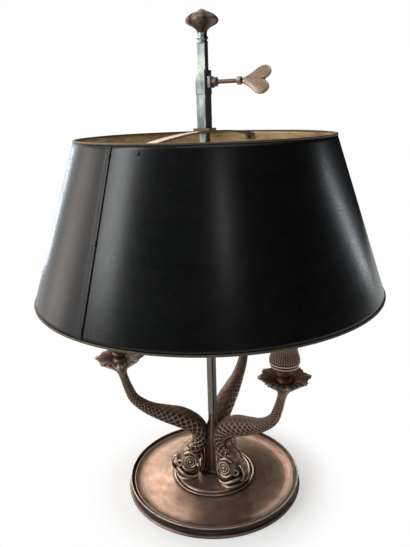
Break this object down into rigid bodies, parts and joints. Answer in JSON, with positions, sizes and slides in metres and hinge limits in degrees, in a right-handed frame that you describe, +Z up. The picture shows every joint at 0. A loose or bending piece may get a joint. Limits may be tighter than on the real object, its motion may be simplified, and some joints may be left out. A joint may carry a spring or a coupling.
{
  "type": "bouillotte table lamp",
  "caption": "Table lamp with dolphin-shaped candle arms on a round dish base and a black metal shade that slides on a square rod.",
  "frame": {"origin": "middle of the foot, on the surface that the lamp stands on", "axes": "+Z up along the rod, +X towards the key, +Y towards the cord inlet, with one dolphin close beside it"},
  "size_m": [0.4134, 0.4134, 0.585],
  "materials": {
    "silvered_brass": "silvered brass, worn warm brown, satin",
    "polished_rod": "silvered square bar, bright with dark wear",
    "key_brass": "silvered brass, worn brown",
    "black_painted_sheet": "satin black outside, dull gold inside",
    "gilt_rim": "worn gilt paint",
    "steel": "plated steel",
    "green_felt": "felt",
    "dark_plastic": "moulded",
    "brass_contacts": "bright",
    "ivory_plastic": "ivory candle tube",
    "opal_glass": "opal",
    "flex_rubber": "brown flex"
  },
  "bodies": {
    "stand": {"base_dish": "silvered_brass", "plinth": "silvered_brass", "column": "silvered_brass", "dolphin_right": "silvered_brass", "dolphin_back": "silvered_brass", "dolphin_left": "silvered_brass", "drip_pan_right": "silvered_brass", "drip_pan_back": "silvered_brass", "drip_pan_left": "silvered_brass", "candle_cup_right": "silvered_brass", "candle_cup_back": "silvered_brass", "candle_cup_left": "silvered_brass", "rod": "polished_rod", "finial_neck": "key_brass", "finial_knob": "key_brass", "base_washer": "steel", "base_nut": "steel", "dolphin_screws": "steel", "block_screw": "steel", "bottom_cover": "steel", "riser_nut_right": "steel", "riser_nut_back": "steel", "riser_nut_left": "steel", "riser_right": "steel", "riser_back": "steel", "riser_left": "steel", "base_felt": "green_felt", "cord_inlet": "dark_plastic", "terminal_block": "dark_plastic", "lampholder_right": "dark_plastic", "lampholder_back": "dark_plastic", "lampholder_left": "dark_plastic", "holder_shell_right": "brass_contacts", "holder_shell_back": "brass_contacts", "holder_shell_left": "brass_contacts", "bulb_cap_right": "brass_contacts", "bulb_cap_back": "brass_contacts", "bulb_cap_left": "brass_contacts", "candle_sleeve_right": "ivory_plastic", "candle_sleeve_back": "ivory_plastic", "candle_sleeve_left": "ivory_plastic", "bulb_glass_right": "opal_glass", "bulb_glass_back": "opal_glass", "bulb_glass_left": "opal_glass", "arm_flex_right": "flex_rubber", "arm_flex_back": "flex_rubber", "arm_flex_left": "flex_rubber"},
    "shade_carriage": {"slider_tube": "polished_rod", "clamp_collar": "polished_rod", "spider_hub": "polished_rod", "spider": "key_brass", "shade": "black_painted_sheet", "shade_top_rim": "gilt_rim", "shade_bottom_rim": "gilt_rim", "shade_rivets": "gilt_rim"},
    "key": {"key_screw": "key_brass", "key_wing": "key_brass"}
  },
  "joints": [
    {"name": "shade_slide", "type": "slide", "parent": "stand", "child": "shade_carriage", "axis": [0, 0, 1], "range_m": [-0.07, 0.027]},
    {"name": "key_turn", "type": "hinge", "parent": "shade_carriage", "child": "key", "pos_m": [0.03, 0, 0.51075], "axis": [1, 0, 0], "range_deg": [-20, 340]}
  ]
}
